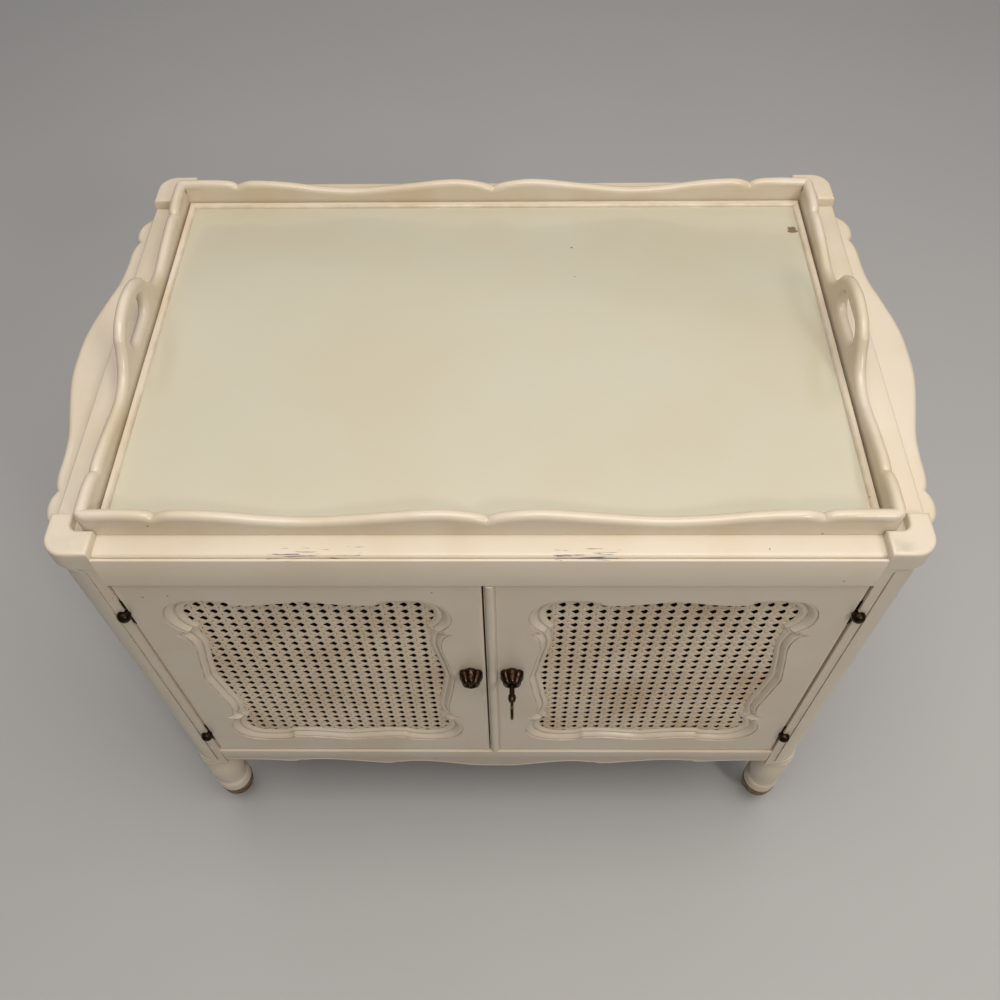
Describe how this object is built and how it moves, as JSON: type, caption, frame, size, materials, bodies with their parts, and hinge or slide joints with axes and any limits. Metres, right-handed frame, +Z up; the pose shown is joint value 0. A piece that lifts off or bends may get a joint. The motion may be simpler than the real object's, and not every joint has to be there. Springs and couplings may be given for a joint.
{
  "type": "serving cabinet",
  "caption": "Painted serving cabinet on casters with a lift-off gallery tray, two lockable cane-panelled doors, a shelf and scalloped push ledges.",
  "frame": {"origin": "on the floor at the middle of the footprint, with the key's reach in front counted in, on the left-right centre plane", "axes": "+Z up, -Y out of the doors, X along the long side"},
  "size_m": [0.83, 0.5512, 0.709],
  "materials": {
    "cream_paint": "satin brushed paint, lightly worn",
    "inside_paint": "matte paint",
    "tray_gloss": "gloss paint",
    "painted_cane": "satin painted woven cane",
    "antique_brass": "dark aged brass",
    "caster_brass": "aged brass",
    "lock_steel": "plain zinc-plated",
    "wheel_rubber": "matte black"
  },
  "bodies": {
    "cabinet": {"front_left_post": "cream_paint", "front_right_post": "cream_paint", "back_left_post": "cream_paint", "back_right_post": "cream_paint", "front_frieze": "cream_paint", "back_top_rail": "cream_paint", "left_top_rail": "cream_paint", "right_top_rail": "cream_paint", "top_board": "inside_paint", "front_apron": "cream_paint", "back_apron": "cream_paint", "left_side_panel": "cream_paint", "right_side_panel": "cream_paint", "back_panel": "inside_paint", "bottom_board": "inside_paint", "shelf": "inside_paint", "shelf_pegs": "inside_paint", "left_ledge": "cream_paint", "right_ledge": "cream_paint", "ledge_screws": "lock_steel", "front_left_foot": "cream_paint", "front_right_foot": "cream_paint", "back_left_foot": "cream_paint", "back_right_foot": "cream_paint", "caster_cups": "caster_brass", "hinge_post_halves": "antique_brass"},
    "tray": {"tray_front_wall": "cream_paint", "tray_back_wall": "cream_paint", "tray_left_wall": "cream_paint", "tray_right_wall": "cream_paint", "tray_floor": "tray_gloss", "tray_bead": "tray_gloss"},
    "left_door": {"left_door_hinge_stile": "cream_paint", "left_door_meeting_stile": "cream_paint", "left_door_top_rail": "cream_paint", "left_door_bottom_rail": "cream_paint", "left_door_cane": "painted_cane", "left_door_hinge_halves": "antique_brass", "left_rosette": "antique_brass", "strike": "lock_steel"},
    "right_door": {"right_door_hinge_stile": "cream_paint", "right_door_meeting_stile": "cream_paint", "right_door_top_rail": "cream_paint", "right_door_bottom_rail": "cream_paint", "right_door_cane": "painted_cane", "right_door_hinge_halves": "antique_brass", "right_rosette": "antique_brass", "astragal": "cream_paint", "lock_case": "lock_steel"},
    "key": {"key": "antique_brass"},
    "lock_bolt": {"lock_bolt": "lock_steel"},
    "flush_bolt": {"flush_bolt": "lock_steel"},
    "front_left_fork": {"front_left_fork": "caster_brass"},
    "front_left_wheel": {"front_left_wheel": "wheel_rubber"},
    "front_right_fork": {"front_right_fork": "caster_brass"},
    "front_right_wheel": {"front_right_wheel": "wheel_rubber"},
    "back_left_fork": {"back_left_fork": "caster_brass"},
    "back_left_wheel": {"back_left_wheel": "wheel_rubber"},
    "back_right_fork": {"back_right_fork": "caster_brass"},
    "back_right_wheel": {"back_right_wheel": "wheel_rubber"}
  },
  "joints": [
    {"name": "tray_lift", "type": "slide", "parent": "cabinet", "child": "tray", "axis": [0, 0, 1], "range_m": [0, 0.15]},
    {"name": "left_door_hinge", "type": "hinge", "parent": "cabinet", "child": "left_door", "pos_m": [-0.336, -0.2285, 0.4045], "axis": [0, 0, -1], "range_deg": [0, 110]},
    {"name": "right_door_hinge", "type": "hinge", "parent": "cabinet", "child": "right_door", "pos_m": [0.336, -0.2285, 0.4045], "axis": [0, 0, 1], "range_deg": [0, 110]},
    {"name": "key_turn", "type": "hinge", "parent": "right_door", "child": "key", "pos_m": [0.0204, -0.2245, 0.4225], "axis": [0, 1, 0], "range_deg": [0, 180]},
    {"name": "lock_bolt_slide", "type": "slide", "parent": "right_door", "child": "lock_bolt", "axis": [-1, 0, 0], "range_m": [0, 0.00701]},
    {"name": "flush_bolt_slide", "type": "slide", "parent": "left_door", "child": "flush_bolt", "axis": [0, 0, 1], "range_m": [0, 0.008]},
    {"name": "front_left_swivel", "type": "hinge", "parent": "cabinet", "child": "front_left_fork", "pos_m": [-0.3535, -0.2055, 0.03], "axis": [0, 0, 1], "continuous": true},
    {"name": "front_left_roll", "type": "hinge", "parent": "front_left_fork", "child": "front_left_wheel", "pos_m": [-0.3535, -0.1965, 0.0135], "axis": [1, 0, 0], "continuous": true},
    {"name": "front_right_swivel", "type": "hinge", "parent": "cabinet", "child": "front_right_fork", "pos_m": [0.3535, -0.2055, 0.03], "axis": [0, 0, 1], "continuous": true},
    {"name": "front_right_roll", "type": "hinge", "parent": "front_right_fork", "child": "front_right_wheel", "pos_m": [0.3535, -0.1965, 0.0135], "axis": [1, 0, 0], "continuous": true},
    {"name": "back_left_swivel", "type": "hinge", "parent": "cabinet", "child": "back_left_fork", "pos_m": [-0.3535, 0.2535, 0.03], "axis": [0, 0, 1], "continuous": true},
    {"name": "back_left_roll", "type": "hinge", "parent": "back_left_fork", "child": "back_left_wheel", "pos_m": [-0.3535, 0.2625, 0.0135], "axis": [1, 0, 0], "continuous": true},
    {"name": "back_right_swivel", "type": "hinge", "parent": "cabinet", "child": "back_right_fork", "pos_m": [0.3535, 0.2535, 0.03], "axis": [0, 0, 1], "continuous": true},
    {"name": "back_right_roll", "type": "hinge", "parent": "back_right_fork", "child": "back_right_wheel", "pos_m": [0.3535, 0.2625, 0.0135], "axis": [1, 0, 0], "continuous": true}
  ],
  "couplings": [
    {"joint": "lock_bolt_slide", "follows": "key_turn", "m_per_rad": 0.0022282}
  ]
}
